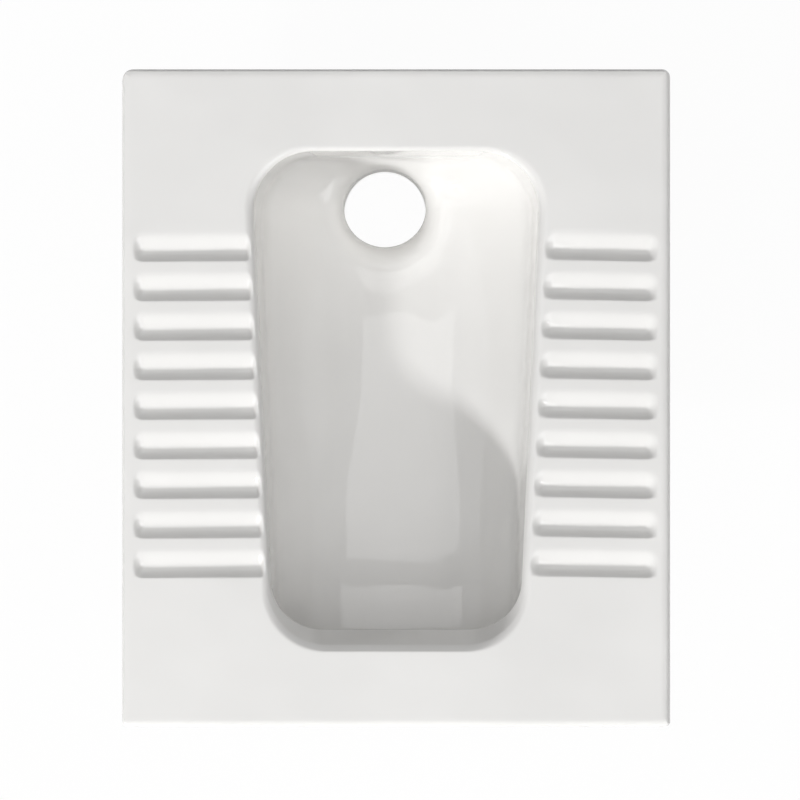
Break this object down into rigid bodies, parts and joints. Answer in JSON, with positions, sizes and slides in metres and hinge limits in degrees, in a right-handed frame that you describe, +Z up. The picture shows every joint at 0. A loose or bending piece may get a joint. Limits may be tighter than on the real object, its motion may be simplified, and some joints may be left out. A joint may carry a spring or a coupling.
{
  "type": "squat toilet",
  "caption": "White glazed floor-level squat pan with grooved foot treads, tapered basin, rolled front lip, bottom outlet spigot and flush inlet fitting.",
  "frame": {"origin": "below the middle of the deck, level with the end of the outlet spigot and the foot webs", "axes": "+Z up; +Y towards the outlet end; +X to the right seen from above with the outlet end at the top"},
  "size_m": [0.5, 0.6, 0.215],
  "materials": {
    "china": "white gloss glaze",
    "seal_rubber": "matt black",
    "washer_rubber": "matt black",
    "plated_brass": "polished plating"
  },
  "bodies": {
    "root": {"pan": "china", "outlet_seal": "seal_rubber", "flush_spreader": "plated_brass", "inlet_inner_washer": "washer_rubber", "inlet_outer_washer": "washer_rubber", "inlet_backnut": "plated_brass", "flush_pipe_seal": "washer_rubber", "inlet_union_nut": "plated_brass"}
  },
  "joints": []
}
